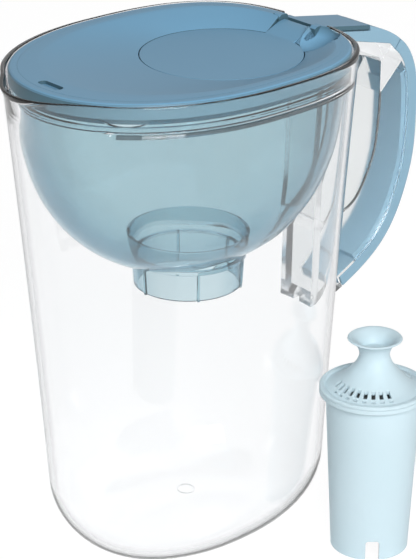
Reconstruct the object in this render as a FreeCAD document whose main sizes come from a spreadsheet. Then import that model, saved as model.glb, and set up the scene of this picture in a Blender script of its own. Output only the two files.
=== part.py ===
import FreeCAD, Part
import Sketcher
import math
import os

# Water filter pitcher: jug, handle, lift-out reservoir, lid with a refill flap, and a filter beside it.
# The origin is the middle of the jug's foot on the table, +Z is up, +X points to the handle.

V = FreeCAD.Vector
Rule = Sketcher.Constraint

SIZES = (
    # jug
    ("jug_height", 261.5),
    ("rim_front", 92.5),
    ("rim_back", 85.0),
    ("rim_half_width", 72.5),
    ("foot_front", 71.3),
    ("foot_back", 80.0),
    ("foot_half_width", 56.8),
    ("front_power", 2.1),
    ("back_power", 2.8),
    ("foot_back_power", 2.15),
    ("wall_flare", 1.2),
    ("base_radius", 38.0),
    ("wall", 2.4),
    ("floor_thickness", 3.2),
    ("groove_depth", 0.9),
    ("groove_width", 3.0),
    ("foot_rim", 4.0),
    ("lip_reach", 9.2),
    ("lip_height", 36.0),
    ("lip_half_angle", 24.0),
    ("ledge_depth", 13.8),
    ("ledge_width", 2.0),
    ("ledge_rise", 2.6),
    ("ledge_gap_half", 36.0),
    # reservoir
    ("fit_gap", 0.5),
    ("rest_gap", 0.3),
    ("flange_thickness", 2.0),
    ("bowl_inset", 2.7),
    ("bowl_wall", 1.8),
    ("bowl_depth", 96.0),
    ("bowl_power", 2.25),
    ("bowl_back_power", 1.12),
    ("collar_inset", 0.4),
    ("collar_wall", 1.8),
    ("notch_width", 25.0),
    ("notch_depth", 3.6),
    ("notch_angle", 212.0),
    ("cup_x", 4.6),
    ("cup_rise", 15.8),
    ("cup_step_rise", 2.4),
    ("cup_drop", 12.0),
    ("cup_top_radius", 31.0),
    ("cup_step_radius", 29.3),
    ("cup_bottom_radius", 27.65),
    ("cup_step_width", 0.8),
    ("cup_wall", 1.8),
    ("cup_rib_width", 1.6),
    ("cup_rib_depth", 0.7),
    ("cup_ribs", 6.0),
    # lid
    ("lid_rise", 0.5),
    ("lid_skirt", 7.3),
    ("lid_gap", 0.6),
    ("lid_wall", 2.0),
    ("lid_border", 4.5),
    ("lid_edge", 1.2),
    ("lid_top_wall", 2.2),
    ("plug_depth", 10.4),
    ("plug_wall", 1.6),
    ("dish_depth", 7.2),
    ("seat_width", 5.0),
    ("slot_x", -79.0),
    ("slot_length", 16.0),
    ("slot_width", 5.0),
    ("slot_depth", 0.9),
    ("scoop_radius", 15.0),
    ("scoop_x", 67.0),
    ("scoop_y", -22.5),
    ("tongue_half", 12.0),
    ("tongue_root_half", 15.6),
    ("tongue_length", 35.0),
    ("tongue_drop", 6.0),
    ("tongue_thickness", 2.4),
    ("tongue_below_rim", 2.2),
    # refill flap
    ("flap_x", 26.9),
    ("flap_radius", 40.6),
    ("flap_gap", 0.5),
    ("flap_thickness", 2.0),
    ("ramp_half", 10.6),
    ("ramp_start", 38.0),
    ("hinge_x", 78.3),
    ("hinge_below_rim", 5.0),
    ("knuckle_radius", 2.6),
    ("pin_radius", 1.2),
    ("pin_gap", 0.06),
    ("pin_half_length", 14.6),
    # handle
    ("handle_reach", 153.2),
    ("handle_below_rim", 7.9),
    ("handle_height", 146.6),
    ("handle_half", 12.5),
    ("strap_thickness", 6.2),
    ("strap_gap", 0.15),
    ("grip_depth_top", 25.5),
    ("grip_depth_low", 46.5),
    ("arm_thickness", 7.6),
    ("arm_below_rim", 8.7),
    ("channel_wall", 2.6),
    ("leg_thickness", 5.6),
    ("gap_corner", 4.0),
    ("foot_notch_half", 2.4),
    ("foot_notch_height", 2.5),
    ("weld_gap", 0.05),
    # filter, standing beside the jug
    ("filter_angle", -51.0),
    ("filter_gap", 0.6),
    ("filter_bottom_radius", 20.0),
    ("filter_top_radius", 24.2),
    ("filter_flange_radius", 27.5),
    ("filter_flange_height", 89.0),
    ("filter_flange_thickness", 2.2),
    ("filter_wall", 1.6),
    ("filter_floor_height", 13.0),
    ("filter_floor", 1.6),
    ("filter_notch_width", 7.0),
    ("filter_notch_height", 11.0),
    ("filter_notch_corner", 1.6),
    ("filter_notch_angle", 50.0),
    ("filter_lip", 1.8),
    ("dome_radius", 24.2),
    ("dome_wall", 1.7),
    ("crown_radius", 20.3),
    ("crown_rise", 3.0),
    ("crown_curve", 40.0),
    ("waist_radius", 11.4),
    ("waist_rise", 11.4),
    ("waist_curve", 14.0),
    ("neck_radius", 7.7),
    ("neck_rise", 18.8),
    ("knob_curve", 10.0),
    ("knob_radius", 13.9),
    ("knob_rise", 28.2),
    ("knob_floor_rise", 21.5),
    ("knob_wall", 1.5),
    ("slots_per_group", 9.0),
    ("slot_pitch", 12.0),
    ("slot_first", 153.0),
    ("dome_slot_width", 2.0),
    ("dome_slot_inner", 16.8),
    ("dome_slot_outer", 20.2),
    ("screen_thickness", 0.6),
    ("screen_gap", 0.15),
    ("media_below_flange", 6.0),
)

RING_POINTS = 40
BASE_BANDS = 8
WALL_BANDS = 10
LIP_BANDS = 4
BOWL_BANDS = 10
BOWL_TURN = math.radians(79.0)
# outer line of the handle, as shares of its reach and of its height from low end to top
HANDLE_LINE = (
    (0.762, 1.0), (0.846, 0.9645), (0.925, 0.9086), (0.971, 0.8458), (0.995, 0.7606), (1.0, 0.6207), (0.992, 0.4809),
    (0.957, 0.3465), (0.899, 0.2237), (0.8235, 0.1364), (0.745, 0.0819), (0.669, 0.0409), (0.565, 0.0),
)
# top of the flap's ramp, as shares of its length and of its rise
RAMP_LINE = ((0.0, 0.0), (0.3, 0.36), (0.6, 0.74), (1.0, 1.0))
SEAM_SHARE = 0.135
SEAM_GAP = 0.004
STRAP_END_SHARE = 0.915
GRIP_SHARES = (0.27, 0.78)
CHANNEL_SHARES = (0.19, 0.895)
RIB_SHARES = (0.24, 0.84)
LINE_SAMPLES = 15
OVERSHOOT = 2.0
MEDIA_TOP = "filter_flange_height - media_below_flange"
PLACE_STEPS = 20.0
TOUCH = 1e-6

doc = FreeCAD.newDocument("pitcher")
sheet = doc.addObject("Spreadsheet::Sheet", "Dims")
for row, (name, value) in enumerate(SIZES, 1):
    sheet.set("A%d" % row, name)
    sheet.set("B%d" % row, str(value))
    sheet.setAlias("B%d" % row, name)
doc.recompute()


def size(name):
    return float(sheet.get(name))


def spline_ring(points):
    """Closed curve through the points; all rings share one parameter list, so lofts between them stay light."""
    curve = Part.BSplineCurve()
    curve.interpolate(Points=points, PeriodicFlag=True, Parameters=[float(k) for k in range(len(points) + 1)])
    return Part.Wire(curve.toShape())


def mix(low, high, share):
    return low + (high - low) * share


def egg_points(front, back, half, z, back_power, lip=0.0, shift=0.0):
    """Closed egg outline: the front and back halves are super-ellipses that meet at the widest place."""
    points = []
    lip_angle = math.radians(size("lip_half_angle"))
    for k in range(RING_POINTS):
        angle = 2.0 * math.pi * k / RING_POINTS
        c = math.cos(angle)
        s = math.sin(angle)
        along = front if c < 0 else back
        power = size("front_power") if c < 0 else back_power
        r = ((abs(c) / along) ** power + (abs(s) / half) ** power) ** (-1.0 / power)
        off = abs(math.pi - angle)
        if off < lip_angle:
            r += lip * math.cos(0.5 * math.pi * off / lip_angle) ** 2
        points.append(V(shift + r * c, r * s, z))
    return points


def jug_sizes(level):
    """Half lengths, half width and back power of the jug's outline; the wall flares towards the rim."""
    share = (max(level, 0.0) / size("jug_height")) ** size("wall_flare")
    front = mix(size("foot_front"), size("rim_front"), share)
    back = mix(size("foot_back"), size("rim_back"), share)
    half = mix(size("foot_half_width"), size("rim_half_width"), share)
    return front, back, half, mix(size("foot_back_power"), size("back_power"), share)


def jug_points(level, inset, z, lip=0.0):
    """Outline of the jug at a level, moved in by inset and drawn at height z."""
    front, back, half, power = jug_sizes(level)
    return egg_points(front - inset, back - inset, half - inset, z, power, lip)


def jug_ring(level, inset, z, lip=0.0):
    return spline_ring(jug_points(level, inset, z, lip))


def filter_place():
    """Axis of the filter, which stands beside the jug with a small gap between its flange and the jug's wall."""
    turn = math.radians(size("filter_angle"))
    along = V(math.cos(turn), math.sin(turn), 0)
    clear = size("filter_flange_radius") + size("filter_gap")
    outline = jug_points(size("filter_flange_height") + size("filter_lip"), 0.0, 0.0)
    low = 0.0
    high = 2.0 * (size("rim_back") + clear)
    while high - low > size("screen_gap") / PLACE_STEPS:
        middle = 0.5 * (low + high)
        inside = middle < size("foot_half_width")
        if inside or min(point.distanceToPoint(along * middle) for point in outline) < clear:
            low = middle
        else:
            high = middle
    return along * high


def circle_ring(x, radius, z):
    points = []
    for k in range(RING_POINTS):
        angle = 2.0 * math.pi * k / RING_POINTS
        points.append(V(x + radius * math.cos(angle), radius * math.sin(angle), z))
    return spline_ring(points)


def loft(rings):
    """Solid through the rings, with a straight band between each two neighbours."""
    return Part.makeLoft(rings, True, True)


def prism(ring_maker, low, high):
    return loft([ring_maker(low), ring_maker(high)])


def skin(rings):
    """Solid of a closed loop of rings, with straight bands between neighbours."""
    faces = []
    for first, second in zip(rings, rings[1:] + rings[:1]):
        faces.append(Part.makeRuledSurface(first.Edges[0], second.Edges[0]))
    shell = Part.makeCompound(faces)
    shell.sewShape()
    solid = Part.makeSolid(shell.Shells[0])
    if solid.Volume < 0:
        solid.reverse()
    return solid


def box(x0, x1, y0, y1, z0, z1):
    return Part.makeBox(x1 - x0, y1 - y0, z1 - z0, V(x0, y0, z0))


def slab(points, half):
    """Closed outline in the XZ plane, drawn out to both sides of the middle plane."""
    corners = [V(x, -half, z) for x, z in points]
    face = Part.Face(Part.makePolygon(corners + corners[:1]))
    return face.extrude(V(0, 2.0 * half, 0))


def spline_edge(points):
    curve = Part.BSplineCurve()
    curve.interpolate(points)
    return curve.toShape()


def flat_solid(stretches, half):
    """Outline in the XZ plane drawn out to both sides; longer stretches are curves, the rest is straight."""
    edges = []
    last = stretches[-1][-1]
    for stretch in stretches:
        if last.distanceToPoint(stretch[0]) > TOUCH:
            edges.append(Part.makeLine(last, stretch[0]))
        if len(stretch) > 2:
            edges.append(spline_edge(stretch))
        elif len(stretch) == 2:
            edges.append(Part.makeLine(stretch[0], stretch[1]))
        last = stretch[-1]
    face = Part.Face(Part.Wire(edges))
    face.translate(V(0, -half, 0))
    return face.extrude(V(0, 2.0 * half, 0))


def jug_form(inset, floor, top):
    """Outside or inside form of the jug, with its rounded base and pouring lip."""
    height = size("jug_height")
    radius = size("base_radius") - inset
    rings = []
    for k in range(BASE_BANDS):
        turn = 0.5 * math.pi * k / BASE_BANDS
        z = floor + radius * (1.0 - math.cos(turn))
        rings.append(jug_ring(z, inset + radius * (1.0 - math.sin(turn)), z))
    lip_foot = height - size("lip_height")
    for k in range(WALL_BANDS):
        z = mix(floor + radius, lip_foot, k / WALL_BANDS)
        rings.append(jug_ring(z, inset, z))
    for k in range(LIP_BANDS + 1):
        share = k / LIP_BANDS
        z = mix(lip_foot, height, share)
        rings.append(jug_ring(z, inset, z, size("lip_reach") * share ** 2))
    if top > height:
        rings.append(jug_ring(top, inset, top, size("lip_reach")))
    return loft(rings)


def ledge_top():
    return size("jug_height") - size("ledge_depth")


def flange_low():
    return ledge_top() + size("rest_gap")


def flange_top():
    return flange_low() + size("flange_thickness")


def lid_top():
    return size("jug_height") + size("lid_rise")


def skirt_low():
    return lid_top() - size("lid_skirt")


def flap_top():
    return lid_top() - size("dish_depth")


def seat_top():
    return flap_top() - size("flap_thickness") - size("rest_gap")


def hinge_z():
    return lid_top() - size("hinge_below_rim")


def tongue_start():
    return size("hinge_x") + size("knuckle_radius") + size("flap_gap") + size("flap_gap")


def tongue_line(x):
    """Height of the tongue's top face, which falls towards the handle."""
    along = (x - tongue_start()) / size("tongue_length")
    return lid_top() - size("tongue_below_rim") - along * size("tongue_drop")


def jug_body():
    height = size("jug_height")
    wall = size("wall")
    shape = jug_form(0.0, 0.0, height).cut(jug_form(wall, size("floor_thickness"), height + OVERSHOOT))
    top = ledge_top()
    low = top - size("ledge_rise")
    outside = loft([jug_ring(low, 0.5 * wall, low), jug_ring(top, 0.5 * wall, top)])
    inside = loft([jug_ring(low, 0.7 * wall, low), jug_ring(top, wall + size("ledge_width"), top)])
    half = size("ledge_gap_half")
    front_gap = box(-2.0 * size("rim_front"), 0.0, -half, half, low - 1.0, top + 1.0)
    shape = shape.fuse(outside.cut(inside).cut(front_gap))
    notch_half = size("tongue_root_half") + size("lid_gap")
    notch_low = tongue_line(size("rim_back")) - size("tongue_thickness") - size("lid_gap") - OVERSHOOT
    back = size("rim_back")
    notch = box(0.8 * back, 1.2 * back, -notch_half, notch_half, notch_low, height + OVERSHOOT)
    shape = shape.cut(notch)
    inset = size("base_radius") + size("foot_rim")
    groove = prism(lambda z: jug_ring(0.0, inset, z), -1.0, size("groove_depth"))
    island = prism(lambda z: jug_ring(0.0, inset + size("groove_width"), z), -1.0, size("groove_depth"))
    return shape.cut(groove.cut(island))


def bowl_form(inset, low):
    """Form of the reservoir's bowl; its outline shrinks towards the filter cup."""
    top = flange_low()
    depth = top - low
    start = size("wall") + size("fit_gap") + size("bowl_inset") + inset
    front, back, half, back_power = jug_sizes(top)
    rings = []
    for k in range(BOWL_BANDS + 1):
        step = math.sin(BOWL_TURN * k / BOWL_BANDS)
        power = size("bowl_power")
        s = (1.0 - step ** power) ** (1.0 / power)
        shift = size("cup_x") * (1.0 - s)
        points = egg_points((front - start) * s, (back - start) * s ** size("bowl_back_power"), (half - start) * s,
                            top - step * depth, back_power, 0.0, shift)
        rings.append(spline_ring(points))
    return loft(rings)


def cone(x, low, high, low_radius, high_radius):
    return Part.makeCone(low_radius, high_radius, high - low, V(x, 0, low))


def reservoir():
    top = flange_top()
    low = flange_low()
    bowl_low = low - size("bowl_depth")
    wall = size("bowl_wall")
    edge = size("wall") + size("fit_gap")
    flange = prism(lambda z: jug_ring(low, edge, z), low, top)
    collar_edge = edge + size("collar_inset")
    collar_top = skirt_low() - size("rest_gap")
    collar = prism(lambda z: jug_ring(low, collar_edge, z), low, collar_top)
    collar_inner = collar_edge + size("collar_wall")
    collar = collar.cut(prism(lambda z: jug_ring(low, collar_inner, z), low - 1.0, collar_top + 1.0))
    x = size("cup_x")
    cup_top = bowl_low + size("cup_rise")
    step = bowl_low + size("cup_step_rise")
    cup_low = bowl_low - size("cup_drop")
    cup_outer = cone(x, step, cup_top, size("cup_step_radius"), size("cup_top_radius"))
    lower_top = size("cup_step_radius") - size("cup_step_width")
    lower = cone(x, cup_low, step, size("cup_bottom_radius"), lower_top)
    hollow = bowl_form(wall, bowl_low + wall)
    throat_edge = edge + size("bowl_inset") + wall
    throat = prism(lambda z: jug_ring(low, throat_edge, z), low - 1.0, top + 1.0)
    shape = bowl_form(0.0, bowl_low).fuse(flange).cut(hollow).cut(throat).fuse(collar)
    shape = shape.fuse(cup_outer).fuse(lower)
    for k in range(int(size("cup_ribs"))):
        rib_half = 0.5 * size("cup_rib_width")
        rib = box(x, x + size("cup_bottom_radius") + size("cup_rib_depth"), -rib_half, rib_half, cup_low, step)
        rib.rotate(V(x, 0, 0), V(0, 0, 1), 360.0 * k / int(size("cup_ribs")))
        shape = shape.fuse(rib)
    cup_wall = size("cup_wall")
    seat = step + cup_wall
    upper_bore = cone(x, seat, cup_top + 1.0, size("cup_step_radius") - cup_wall + 1.1,
                      size("cup_top_radius") - cup_wall)
    lower_bore = Part.makeCylinder(size("filter_top_radius") + 2.0 * size("fit_gap"), seat - cup_low + 2.0,
                                   V(x, 0, cup_low - 1.0))
    shape = shape.cut(upper_bore).cut(lower_bore)
    rise = size("notch_depth")
    radius = (0.25 * size("notch_width") ** 2 + rise ** 2) / (2.0 * rise)
    reach = size("rim_front") + size("rim_half_width")
    for side in (1.0, -1.0):
        angle = math.radians(side * size("notch_angle"))
        along = V(math.cos(angle), math.sin(angle), 0)
        moon = Part.makeCylinder(radius, reach, V(0, 0, collar_top + radius - rise), along)
        shape = shape.cut(moon)
    hinge_half = size("tongue_root_half") + 2.0 * size("lid_gap")
    hinge_gap = box(0.8 * size("rim_back"), 1.1 * size("rim_back"), -hinge_half, hinge_half, top, collar_top + 1.0)
    return shape.cut(hinge_gap).removeSplitter()


def lid_ring(inset, z):
    return jug_ring(skirt_low(), size("wall") + size("lid_gap") + inset, z)


def scoop_ball():
    """Ball that hollows the finger scoop beside the flap's ramp."""
    radius = size("scoop_radius")
    return Part.makeSphere(radius, V(size("scoop_x"), size("scoop_y"), seat_top() + size("rest_gap") + radius), V(0, 1, 0))


def lid_shell():
    top = lid_top()
    low = skirt_low()
    wall = size("lid_wall")
    x = size("flap_x")
    dish = size("flap_radius") + size("flap_gap")
    opening = size("flap_radius") - size("seat_width")
    seat = seat_top()
    seat_low = seat - size("lid_top_wall")
    plug_outer = size("collar_inset") + size("collar_wall") + 2.0 * size("fit_gap")
    plug_inner = plug_outer + size("plug_wall")
    plug_low = top - size("plug_depth")
    under = top - size("lid_top_wall")
    rings = [
        lid_ring(0.0, low),
        lid_ring(0.0, top - size("lid_edge")),
        lid_ring(0.35 * size("lid_edge"), top - 0.35 * size("lid_edge")),
        lid_ring(size("lid_edge"), top),
        lid_ring(size("lid_border"), top),
        circle_ring(x, dish, flap_top()),
        circle_ring(x, dish, seat),
        circle_ring(x, opening, seat),
        circle_ring(x, opening, seat_low),
        circle_ring(x, dish + wall, seat_low),
        lid_ring(plug_inner, under),
        lid_ring(plug_inner, plug_low),
        lid_ring(plug_outer, plug_low),
        lid_ring(plug_outer, under),
        lid_ring(wall, under),
        lid_ring(wall, low),
    ]
    shape = skin(rings)
    hinge_x = size("hinge_x")
    root = size("tongue_root_half")
    channel = size("ramp_half") + size("flap_gap")
    reach = size("scoop_radius") + abs(size("scoop_y"))
    below = size("rest_gap")
    inside = prism(lambda z: lid_ring(plug_inner - size("fit_gap"), z), seat_low, under)
    above_dish = loft([circle_ring(x, dish, flap_top() - below), lid_ring(size("lid_border"), top - below),
                       lid_ring(size("lid_border"), top + OVERSHOOT)])
    disc_room = Part.makeCylinder(dish + size("rest_gap"), top - seat_low + OVERSHOOT, V(x, 0, seat_low - 1.0))
    bay = box(x + opening, size("rim_back"), -reach, reach, seat_low, top)
    shape = shape.fuse(bay.common(inside).cut(above_dish).cut(disc_room))
    start = tongue_start()
    end = start + size("tongue_length")
    thick = size("tongue_thickness")
    lug_end = size("rim_back") + wall
    lug_low = flange_top() + size("rest_gap") + size("flap_gap")
    lug_start = hinge_x - size("knuckle_radius") - size("flap_gap")
    lugs = slab([(lug_start, lug_low), (lug_end, lug_low), (lug_end, tongue_line(lug_end)),
                 (lug_start, tongue_line(lug_start))], root)
    shape = shape.fuse(lugs.common(prism(lambda z: lid_ring(0.0, z), lug_low, top)))
    neck = slab([(lug_start, tongue_line(lug_start)), (lug_end, tongue_line(lug_end)),
                 (lug_end, tongue_line(lug_end) - thick), (lug_start, tongue_line(lug_start) - thick)], root)
    tongue = slab([(start, tongue_line(start)), (end, tongue_line(end)), (end, tongue_line(end) - thick),
                   (start, tongue_line(start) - thick)], size("tongue_half"))
    shape = shape.fuse(neck).fuse(tongue)
    room = box(x + 0.8 * dish, start, -channel, channel, seat, top + OVERSHOOT)
    shape = shape.cut(room)
    keep_lug = box(lug_start, 2.0 * size("rim_back"), -root, root, seat_low, top + OVERSHOOT)
    shape = shape.cut(scoop_ball().cut(keep_lug))
    pin = Part.makeCylinder(size("pin_radius") + 0.5 * size("pin_gap"), 2.0 * (size("pin_half_length") + size("pin_gap")),
                            V(hinge_x, -size("pin_half_length") - size("pin_gap"), hinge_z()), V(0, 1, 0))
    shape = shape.cut(pin)
    slope = size("dish_depth") / (size("rim_front") - dish + x)
    slot_z = top - slope * (size("slot_x") + size("rim_front") - size("lid_border")) - size("slot_depth")
    end_y = 0.5 * (size("slot_length") - size("slot_width"))
    half = 0.5 * size("slot_width")
    slot = box(size("slot_x") - half, size("slot_x") + half, -end_y, end_y, slot_z, top + 1.0)
    for y in (-end_y, end_y):
        slot = slot.fuse(Part.makeCylinder(half, top + 1.0 - slot_z, V(size("slot_x"), y, slot_z)))
    return shape.cut(slot).removeSplitter()


def refill_flap():
    x = size("flap_x")
    top = flap_top()
    thick = size("flap_thickness")
    axis_x = size("hinge_x")
    axis_z = hinge_z()
    knuckle = size("knuckle_radius")
    half = size("ramp_half")
    disc = Part.makeCylinder(size("flap_radius"), thick, V(x, 0, top - thick))
    ramp_x = x + size("ramp_start")
    crest = axis_z + knuckle
    swell = [V(mix(ramp_x, axis_x, along), 0, mix(top, crest, rise)) for along, rise in RAMP_LINE]
    ramp = flat_solid([[V(ramp_x, 0, top - thick)], swell, [V(axis_x, 0, axis_z)],
                       [V(axis_x - 0.8 * knuckle, 0, axis_z - 0.3 * knuckle)],
                       [V(mix(ramp_x, axis_x, 0.04), 0, top - thick)]], half)
    ramp = ramp.cut(scoop_ball())
    barrel = Part.makeCylinder(knuckle, 2.0 * half, V(axis_x, -half, axis_z), V(0, 1, 0))
    bore = Part.makeCylinder(size("pin_radius") + size("pin_gap"), 2.0 * half + OVERSHOOT,
                             V(axis_x, -half - 0.5 * OVERSHOOT, axis_z), V(0, 1, 0))
    return disc.fuse(ramp).fuse(barrel).cut(bore).removeSplitter()


def handle_top():
    return size("jug_height") - size("handle_below_rim")


def handle_line():
    """Outer line of the handle, from its top at the jug round to its foot."""
    curve = Part.BSplineCurve()
    tall = size("handle_height")
    low = handle_top() - tall
    curve.interpolate([V(fx * size("handle_reach"), 0, low + fz * tall) for fx, fz in HANDLE_LINE])
    return curve


def line_point(curve, share, depth):
    """Point of the handle's outer line at a share of its length, moved in by depth."""
    u = curve.FirstParameter + share * (curve.LastParameter - curve.FirstParameter)
    point = curve.value(u)
    along = curve.tangent(u)[0]
    return V(point.x + depth * along.z, 0, point.z - depth * along.x)


def shares(first, last):
    return [mix(first, last, k / (LINE_SAMPLES - 1.0)) for k in range(LINE_SAMPLES)]


def grip_depth(share):
    return mix(size("grip_depth_top"), size("grip_depth_low"), share ** 2)


def arm_line(x):
    """Height of the top of the handle's arm, which falls away from the jug."""
    top = size("jug_height") - size("arm_below_rim")
    fall = (top - (handle_top() - 2.0 * size("strap_thickness"))) / (0.3 * size("handle_reach"))
    return top - fall * (x - size("rim_back"))


def arm_bend():
    """Place on the arm's top where it turns towards the seam of the strap."""
    seam = line_point(handle_line(), SEAM_SHARE, size("strap_thickness"))
    x = seam.x - size("gap_corner")
    return V(x, 0, arm_line(x))


def leg_point(z):
    """Point on the face of the leg that runs down the jug's back wall."""
    return V(jug_sizes(z)[1] + size("leg_thickness"), 0, z)


def finger_gap(curve):
    grip = [line_point(curve, s, grip_depth(s)) for s in shares(*GRIP_SHARES)]
    roof_z = arm_line(grip[0].x) - size("arm_thickness")
    leg_top = leg_point(arm_line(size("rim_back")) - size("arm_thickness"))
    corner = V(grip[0].x, 0, roof_z)
    low = leg_point(grip[-1].z - 0.6 * (grip[-1].x - leg_top.x))
    tool = flat_solid([[leg_top], [corner], grip, [low]], size("handle_half") + OVERSHOOT)
    across = [e for e in tool.Edges if abs(e.Vertexes[0].Y - e.Vertexes[-1].Y) > size("handle_half")]
    sharp = [e for e in across if e.Vertexes[0].Point.distanceToPoint(V(grip[-1].x, e.Vertexes[0].Y, grip[-1].z)) > 1.0]
    sharp = [e for e in sharp if e.Vertexes[0].Point.distanceToPoint(V(grip[0].x, e.Vertexes[0].Y, grip[0].z)) > 1.0]
    return tool.makeFillet(size("gap_corner"), sharp)


def handle_frame():
    """Clear grip with an open channel along its back, an arm at the rim and a leg down the jug's wall."""
    curve = handle_line()
    inner = size("strap_thickness") + size("strap_gap")
    wall_x = 0.7 * size("rim_back")
    half = size("handle_half")
    channel = size("channel_wall")
    end_share = STRAP_END_SHARE + SEAM_GAP
    back = [line_point(curve, s, inner) for s in shares(SEAM_SHARE, end_share)]
    tail = [line_point(curve, s, 0.0) for s in (end_share, mix(end_share, 1.0, 0.5), 1.0)]
    body = flat_solid([[V(wall_x, 0, arm_line(wall_x))], [arm_bend()], back, tail, [V(wall_x, 0, tail[-1].z)]], half)
    body = body.cut(finger_gap(curve))
    mouth = [line_point(curve, s, 0.0) for s in shares(*CHANNEL_SHARES)]
    floor = [line_point(curve, s, grip_depth(s) - channel) for s in shares(GRIP_SHARES[1], GRIP_SHARES[0])]
    leg_low = leg_point(tail[-1].z + 2.0 * channel) + V(channel, 0, 0)
    leg_high = leg_point(floor[0].z - 0.6 * (floor[0].x - leg_low.x)) + V(channel, 0, 0)
    body = body.cut(flat_solid([mouth, [leg_low], [leg_high], floor], half - channel))
    notch_half = size("foot_notch_half")
    notch = box(wall_x, leg_low.x, -notch_half, notch_half, 0.0, tail[-1].z + size("foot_notch_height"))
    body = body.cut(notch)
    return body.cut(jug_form(-size("weld_gap"), -1.0, size("jug_height"))).removeSplitter()


def handle_strap():
    curve = handle_line()
    thick = size("strap_thickness")
    outer = [line_point(curve, s, 0.0) for s in shares(SEAM_SHARE, STRAP_END_SHARE)]
    inner = [line_point(curve, s, thick) for s in shares(STRAP_END_SHARE, SEAM_SHARE)]
    rib_half = size("handle_half") - size("channel_wall") - size("fit_gap")
    rib_out = [line_point(curve, s, 0.5 * thick) for s in shares(*RIB_SHARES)]
    rib_in = [line_point(curve, s, 1.5 * thick) for s in shares(*reversed(RIB_SHARES))]
    rib = flat_solid([rib_out, rib_in], rib_half)
    return flat_solid([outer, inner], size("handle_half")).fuse(rib).removeSplitter()


def handle_cap():
    """Cover of the arm, with a step that takes the lid's tongue."""
    curve = handle_line()
    last = SEAM_SHARE - SEAM_GAP
    end = tongue_start() + size("tongue_length") + size("fit_gap")
    first_x = size("rim_back") + 2.0 * size("lid_gap") + size("lid_wall")
    step = size("tongue_thickness") + size("fit_gap")
    outer = [p for p in (line_point(curve, s, 0.0) for s in shares(0.0, last)) if p.x > end + 1.0]
    lift = V(0, 0, size("strap_gap"))
    return flat_solid([[V(first_x, 0, arm_line(first_x)) + lift], [V(first_x, 0, tongue_line(first_x) - step)],
                       [V(end, 0, tongue_line(end) - step)], [V(end, 0, tongue_line(end))], outer,
                       [line_point(curve, last, size("strap_thickness"))], [arm_bend() + lift]], size("handle_half"))


def plain_shape(label, shape):
    if len(shape.Solids) != 1:
        raise RuntimeError(label + " is not one solid")
    feature = doc.addObject("Part::Feature", label)
    feature.Shape = shape.Solids[0]
    feature.Placement = FreeCAD.Placement()
    feature.Label = label
    return feature


def dims(text):
    """Expression in which each word that is a size name is read from the sheet."""
    known = {name for name, _ in SIZES} | {"filter_x", "filter_y"}
    words = text.replace("(", " ( ").replace(")", " ) ").split()
    return " ".join("Dims." + word if word in known else word for word in words)


def number(text):
    """Value of an expression of sizes, worked out by a cell of the sheet."""
    sheet.set("D1", "=" + text)
    sheet.recompute()
    return float(sheet.get("D1"))


def arc(start, end, radius):
    """Arc from start to end; a positive radius has its centre to the left of the way."""
    way = end - start
    left = V(-way.y, way.x, 0).normalize() * math.copysign(1.0, radius)
    centre = (start + end) * 0.5 + left * math.sqrt(radius ** 2 - 0.25 * way.Length ** 2)
    first, last = (start, end) if radius > 0 else (end, start)
    angles = [math.atan2(p.y - centre.y, p.x - centre.x) for p in (first, last)]
    return Part.ArcOfCircle(Part.Circle(centre, V(0, 0, 1), abs(radius)), angles[0], angles[1])


def profile(body, corners):
    """Sketch of a closed outline on the body's XZ plane.

    A corner is a pair of expressions, with a signed radius after them where an arc leads to the next corner.
    """
    sketch = body.newObject("Sketcher::SketchObject", body.Name + "_profile")
    plane = [f for f in body.Origin.OriginFeatures if f.Name.startswith("XZ_Plane")][0]
    sketch.AttachmentSupport = (plane, [""])
    sketch.MapMode = "FlatFace"
    count = len(corners)
    spots = [V(number(corner[0]), number(corner[1]), 0) for corner in corners]
    starts = []
    for k, corner in enumerate(corners):
        spot, following = spots[k], spots[(k + 1) % count]
        radius = number(corner[2]) if len(corner) > 2 else 0.0
        line = arc(spot, following, radius) if radius else Part.LineSegment(spot, following)
        sketch.addGeometry(line, False)
        starts.append(2 if radius < 0 else 1)
    for k in range(count):
        following = (k + 1) % count
        sketch.addConstraint(Rule("Coincident", k, 3 - starts[k], following, starts[following]))
    for k, corner in enumerate(corners):
        for rule, axis, text, value in (("DistanceX", -2, corner[0], spots[k].x), ("DistanceY", -1, corner[1], spots[k].y)):
            if text == "0":
                sketch.addConstraint(Rule("PointOnObject", k, starts[k], axis))
            else:
                n = sketch.addConstraint(Rule(rule, -1, 1, k, starts[k], value))
                sketch.setExpression("Constraints[%d]" % n, dims(text))
        if len(corner) > 2:
            n = sketch.addConstraint(Rule("Radius", k, abs(number(corner[2]))))
            sketch.setExpression("Constraints[%d]" % n, dims(corner[2].lstrip("-")))
    return sketch


def stand_by_jug(feature):
    feature.setExpression("Placement.Base.x", dims("filter_x"))
    feature.setExpression("Placement.Base.y", dims("filter_y"))


def turned_body(label, corners):
    body = doc.addObject("PartDesign::Body", label)
    sketch = profile(body, corners)
    turn = body.newObject("PartDesign::Revolution", label + "_turn")
    turn.Profile = sketch
    turn.ReferenceAxis = (sketch, ["V_Axis"])
    turn.Angle = 360.0
    body.Tip = turn
    stand_by_jug(body)
    return body


def cut_feature(label, base, tool):
    feature = doc.addObject("Part::Cut", label)
    feature.Base = base
    feature.Tool = tool
    feature.Label = label
    return feature


def above_flange(rise):
    return "filter_flange_height + " + rise


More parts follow.
